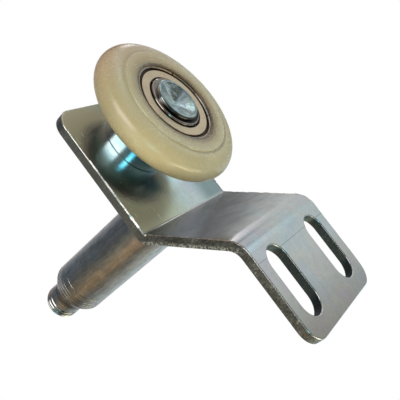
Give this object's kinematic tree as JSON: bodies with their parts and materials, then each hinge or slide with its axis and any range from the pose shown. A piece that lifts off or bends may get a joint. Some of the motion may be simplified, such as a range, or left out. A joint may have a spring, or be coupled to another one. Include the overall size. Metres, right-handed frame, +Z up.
{
  "type": "sliding door hanger roller",
  "caption": "Folded zinc-plated hanger plate with slotted fixing flange, nylon roller on a shielded ball bearing and riveted axle pin, and a turned spigot post behind.",
  "frame": {"origin": "roller axis at the middle of the tread", "axes": "+X across the bracket, +Y along the roller axis from the roller's open face towards the rear post, +Z up, roller above the slotted flange"},
  "size_m": [0.0514, 0.097, 0.1058],
  "materials": {
    "zinc_sheet": "bright zinc plate, clear iridescent passivation, dark sheared edges",
    "zinc_pin": "bright zinc plate, bluish",
    "zinc_post": "turned bar, zinc plate with yellow-brown tint",
    "nylon": "aged natural nylon, satin, slightly translucent",
    "bearing_steel": "ground bearing steel",
    "ball_steel": "polished bearing steel",
    "cage_steel": "pressed steel",
    "shield_steel": "pressed steel, satin, slightly browned"
  },
  "bodies": {
    "hanger": {"bracket": "zinc_sheet", "axle_pin": "zinc_pin", "rear_post": "zinc_post", "bearing_inner_ring": "bearing_steel"},
    "roller": {"roller_tyre": "nylon", "bearing_outer_ring": "bearing_steel", "front_shield": "shield_steel", "rear_shield": "shield_steel"},
    "ball_train": {"bearing_ball_1": "ball_steel", "bearing_ball_2": "ball_steel", "bearing_ball_3": "ball_steel", "bearing_ball_4": "ball_steel", "bearing_ball_5": "ball_steel", "bearing_ball_6": "ball_steel", "bearing_ball_7": "ball_steel", "cage_front_half": "cage_steel", "cage_rear_half": "cage_steel", "cage_rivets": "cage_steel"}
  },
  "joints": [
    {"name": "roller_spin", "type": "hinge", "parent": "hanger", "child": "roller", "pos_m": [0, 0, 0], "axis": [0, 1, 0], "continuous": true},
    {"name": "cage_orbit", "type": "hinge", "parent": "hanger", "child": "ball_train", "pos_m": [0, 0, 0], "axis": [0, 1, 0], "continuous": true}
  ],
  "couplings": [
    {"joint": "cage_orbit", "follows": "roller_spin", "ratio": 0.6353}
  ]
}
